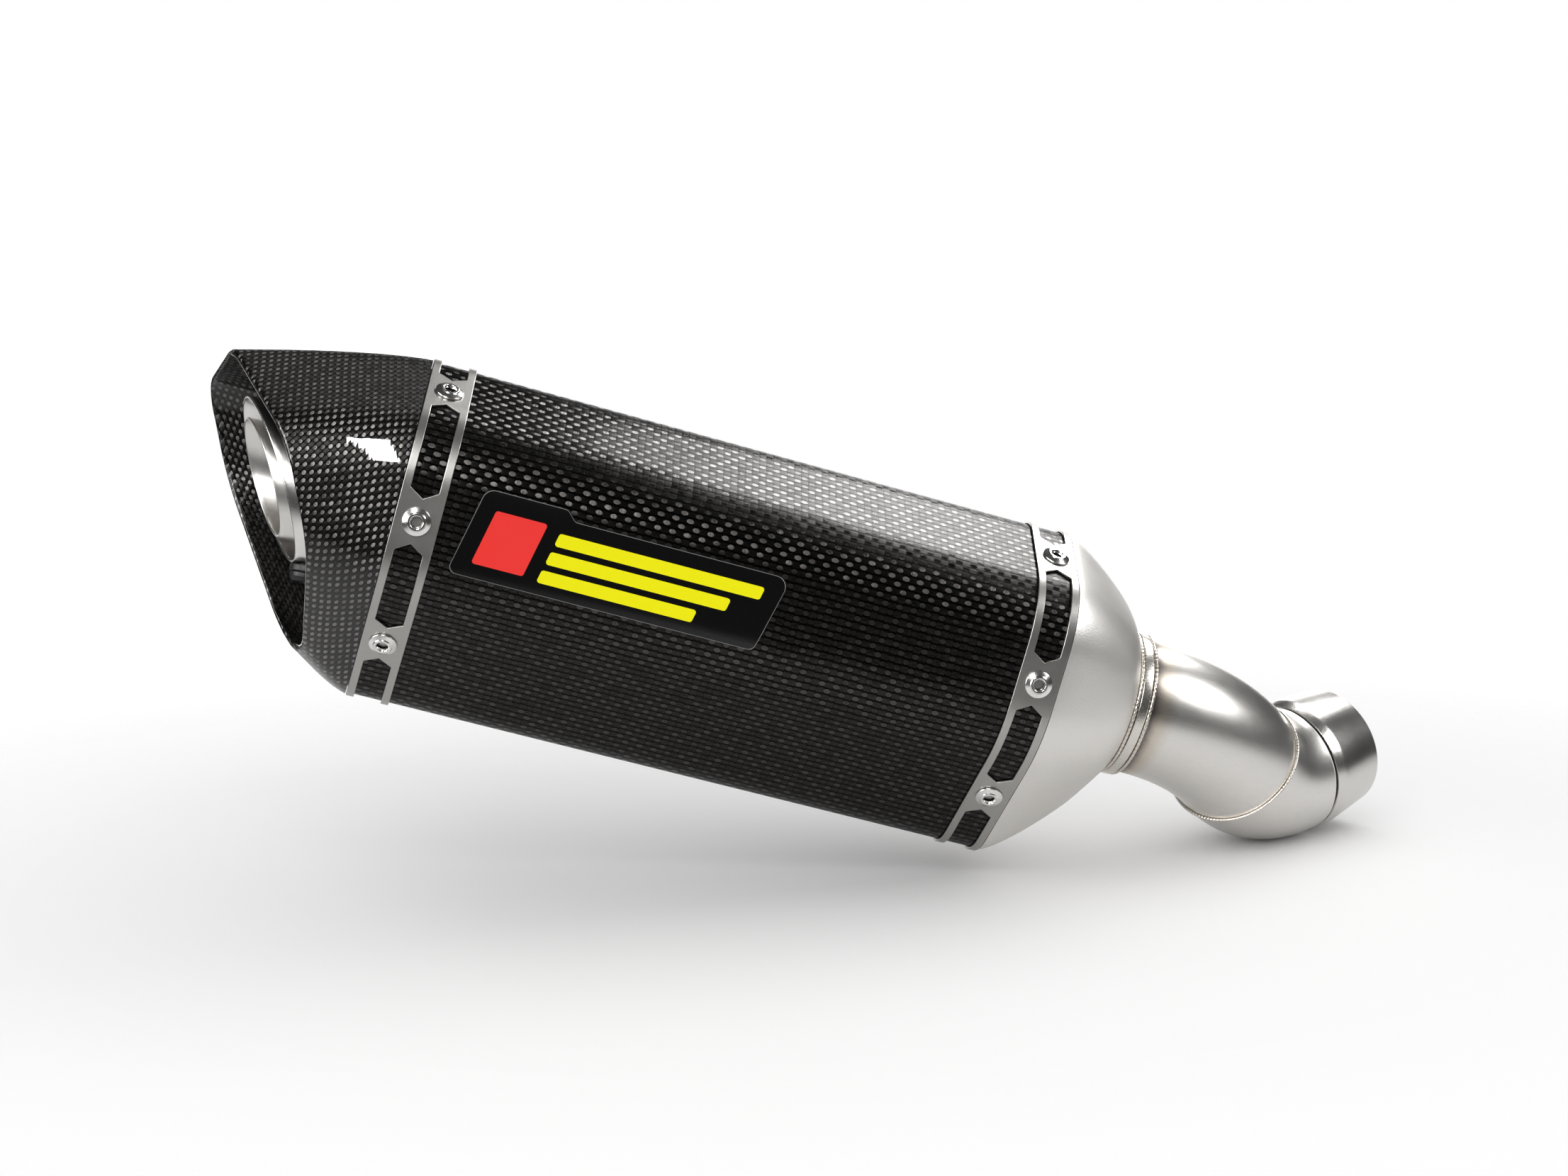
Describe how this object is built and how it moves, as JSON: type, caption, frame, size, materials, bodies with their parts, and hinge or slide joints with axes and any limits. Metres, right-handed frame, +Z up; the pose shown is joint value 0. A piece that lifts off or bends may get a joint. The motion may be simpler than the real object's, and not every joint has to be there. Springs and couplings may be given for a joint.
{
  "type": "exhaust muffler",
  "caption": "Slip-on motorcycle exhaust muffler: kite-section carbon sleeve between riveted steel bands, slanted carbon end cap with removable noise insert, steel inlet cone and bent link pipe.",
  "frame": {"origin": "centre of the mouth of the inlet slip sleeve, where the header pipe enters", "axes": "+X forwards along the machine, so the muffler lies towards -X; +Y towards the wheel, so -Y is the outer side with the label; +Z up, with the muffler at the angle it hangs at, outlet end high by 16 degrees"},
  "size_m": [0.4444, 0.1165, 0.1968],
  "materials": {
    "carbon_sleeve": "gloss",
    "carbon_cap": "gloss",
    "band_steel": "satin",
    "rivet_steel": "polished",
    "cone_steel": "satin",
    "pipe_steel": "satin",
    "sleeve_steel": "satin",
    "weld_steel": "satin",
    "inner_steel": "satin",
    "wool_steel": "matte",
    "packing_fibre": "matte",
    "tip_steel": "polished",
    "bolt_steel": "satin",
    "label_film": "gloss"
  },
  "bodies": {
    "muffler": {"outer_sleeve": "carbon_sleeve", "end_cap": "carbon_cap", "outlet_band": "band_steel", "inlet_band": "band_steel", "outlet_rivet_1": "rivet_steel", "outlet_rivet_2": "rivet_steel", "outlet_rivet_3": "rivet_steel", "outlet_rivet_4": "rivet_steel", "outlet_rivet_5": "rivet_steel", "outlet_rivet_6": "rivet_steel", "inlet_rivet_1": "rivet_steel", "inlet_rivet_2": "rivet_steel", "inlet_rivet_3": "rivet_steel", "inlet_rivet_4": "rivet_steel", "inlet_rivet_5": "rivet_steel", "inlet_rivet_6": "rivet_steel", "inlet_cone": "cone_steel", "link_pipe_bend": "pipe_steel", "link_pipe_elbow": "pipe_steel", "inlet_collar": "pipe_steel", "inlet_sleeve": "sleeve_steel", "cone_weld": "weld_steel", "collar_weld": "weld_steel", "bend_weld": "weld_steel", "tip_weld": "weld_steel", "core_tube": "inner_steel", "outlet_baffle": "inner_steel", "inlet_baffle": "inner_steel", "outlet_bulkhead": "inner_steel", "bolt_boss": "inner_steel", "steel_wool_wrap": "wool_steel", "fibre_packing": "packing_fibre", "outlet_tip": "tip_steel", "insert_bolt": "bolt_steel", "label_plate": "label_film"},
    "noise_insert": {"insert_tube": "tip_steel", "insert_collar": "inner_steel", "insert_guide_ring": "inner_steel"}
  },
  "joints": [
    {"name": "insert_slide", "type": "slide", "parent": "muffler", "child": "noise_insert", "axis": [-0.9608, 0, 0.2773], "range_m": [0, 0.095]}
  ]
}
